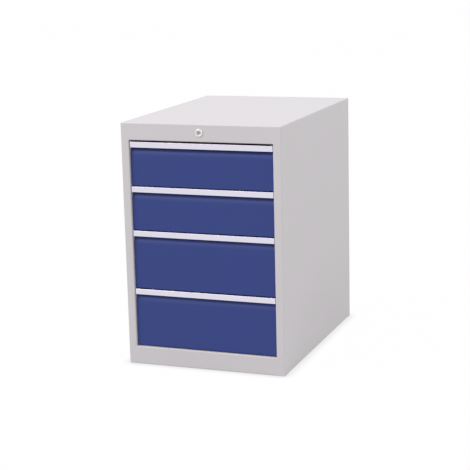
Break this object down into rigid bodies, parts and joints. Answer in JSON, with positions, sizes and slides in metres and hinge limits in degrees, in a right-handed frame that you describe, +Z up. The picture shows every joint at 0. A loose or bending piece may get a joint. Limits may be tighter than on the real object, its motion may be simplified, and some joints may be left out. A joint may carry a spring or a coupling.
{
  "type": "multi-drawer cabinet",
  "caption": "Floor-standing sheet-steel drawer cabinet with stacked blue fronts, full-width grip strips, ball runners and a central lock.",
  "frame": {"origin": "on the floor, below the middle of the cabinet", "axes": "+Z up, -Y out of the drawer fronts, +X to the right as seen from the front"},
  "size_m": [0.5, 0.703, 0.74],
  "materials": {
    "body_paint": "light grey powder coat",
    "tray_paint": "light grey powder coat",
    "front_paint": "blue powder coat",
    "grip_aluminium": "satin anodised",
    "zinc_steel": "bright zinc plated",
    "lock_chrome": "bright nickel plated",
    "lock_brass": "turned nickel plated core",
    "guide_plastic": "moulded black nylon"
  },
  "bodies": {
    "cabinet": {"top_panel": "body_paint", "front_fascia": "body_paint", "base_rail": "body_paint", "rear_panel": "body_paint", "base_panel": "body_paint", "left_side_panel": "body_paint", "right_side_panel": "body_paint", "front_left_upright": "body_paint", "front_right_upright": "body_paint", "rear_left_upright": "body_paint", "rear_right_upright": "body_paint", "lock_nut": "zinc_steel", "rod_bearing": "zinc_steel", "drawer_1_left_cabinet_rail": "zinc_steel", "drawer_1_right_cabinet_rail": "zinc_steel", "drawer_2_left_cabinet_rail": "zinc_steel", "drawer_2_right_cabinet_rail": "zinc_steel", "drawer_3_left_cabinet_rail": "zinc_steel", "drawer_3_right_cabinet_rail": "zinc_steel", "drawer_4_left_cabinet_rail": "zinc_steel", "drawer_4_right_cabinet_rail": "zinc_steel", "lock_housing": "lock_chrome", "upper_bar_guide": "guide_plastic", "lower_bar_guide": "guide_plastic"},
    "drawer_1": {"drawer_1_tray": "tray_paint", "drawer_1_front": "front_paint", "drawer_1_grip_strip": "grip_aluminium", "drawer_1_lock_catch": "zinc_steel", "drawer_1_left_drawer_rail": "zinc_steel", "drawer_1_right_drawer_rail": "zinc_steel"},
    "drawer_2": {"drawer_2_tray": "tray_paint", "drawer_2_front": "front_paint", "drawer_2_grip_strip": "grip_aluminium", "drawer_2_lock_catch": "zinc_steel", "drawer_2_left_drawer_rail": "zinc_steel", "drawer_2_right_drawer_rail": "zinc_steel"},
    "drawer_3": {"drawer_3_tray": "tray_paint", "drawer_3_front": "front_paint", "drawer_3_grip_strip": "grip_aluminium", "drawer_3_lock_catch": "zinc_steel", "drawer_3_left_drawer_rail": "zinc_steel", "drawer_3_right_drawer_rail": "zinc_steel"},
    "drawer_4": {"drawer_4_tray": "tray_paint", "drawer_4_front": "front_paint", "drawer_4_grip_strip": "grip_aluminium", "drawer_4_lock_catch": "zinc_steel", "drawer_4_left_drawer_rail": "zinc_steel", "drawer_4_right_drawer_rail": "zinc_steel"},
    "drawer_1_cages": {"drawer_1_left_ball_cage": "zinc_steel", "drawer_1_right_ball_cage": "zinc_steel"},
    "drawer_2_cages": {"drawer_2_left_ball_cage": "zinc_steel", "drawer_2_right_ball_cage": "zinc_steel"},
    "drawer_3_cages": {"drawer_3_left_ball_cage": "zinc_steel", "drawer_3_right_ball_cage": "zinc_steel"},
    "drawer_4_cages": {"drawer_4_left_ball_cage": "zinc_steel", "drawer_4_right_ball_cage": "zinc_steel"},
    "lock_core": {"lock_plug": "lock_brass", "lock_rod": "zinc_steel", "lock_crank": "zinc_steel"},
    "lock_bar": {"locking_bar": "zinc_steel"}
  },
  "joints": [
    {"name": "drawer_1_slide", "type": "slide", "parent": "cabinet", "child": "drawer_1", "axis": [0, -1, 0], "range_m": [0, 0.447]},
    {"name": "drawer_1_cage_slide", "type": "slide", "parent": "cabinet", "child": "drawer_1_cages", "axis": [0, -1, 0], "range_m": [0, 0.2235]},
    {"name": "drawer_2_slide", "type": "slide", "parent": "cabinet", "child": "drawer_2", "axis": [0, -1, 0], "range_m": [0, 0.447]},
    {"name": "drawer_2_cage_slide", "type": "slide", "parent": "cabinet", "child": "drawer_2_cages", "axis": [0, -1, 0], "range_m": [0, 0.2235]},
    {"name": "drawer_3_slide", "type": "slide", "parent": "cabinet", "child": "drawer_3", "axis": [0, -1, 0], "range_m": [0, 0.447]},
    {"name": "drawer_3_cage_slide", "type": "slide", "parent": "cabinet", "child": "drawer_3_cages", "axis": [0, -1, 0], "range_m": [0, 0.2235]},
    {"name": "drawer_4_slide", "type": "slide", "parent": "cabinet", "child": "drawer_4", "axis": [0, -1, 0], "range_m": [0, 0.447]},
    {"name": "drawer_4_cage_slide", "type": "slide", "parent": "cabinet", "child": "drawer_4_cages", "axis": [0, -1, 0], "range_m": [0, 0.2235]},
    {"name": "lock_turn", "type": "hinge", "parent": "cabinet", "child": "lock_core", "pos_m": [0, -0.35, 0.716], "axis": [0, -1, 0], "range_deg": [0, 90]},
    {"name": "lock_bar_lift", "type": "slide", "parent": "cabinet", "child": "lock_bar", "axis": [0, 0, 1], "range_m": [0, 0.014]}
  ],
  "couplings": [
    {"joint": "drawer_1_cage_slide", "follows": "drawer_1_slide", "ratio": 0.5},
    {"joint": "drawer_2_cage_slide", "follows": "drawer_2_slide", "ratio": 0.5},
    {"joint": "drawer_3_cage_slide", "follows": "drawer_3_slide", "ratio": 0.5},
    {"joint": "drawer_4_cage_slide", "follows": "drawer_4_slide", "ratio": 0.5},
    {"joint": "lock_bar_lift", "follows": "lock_turn", "m_per_rad": 0.008912}
  ]
}
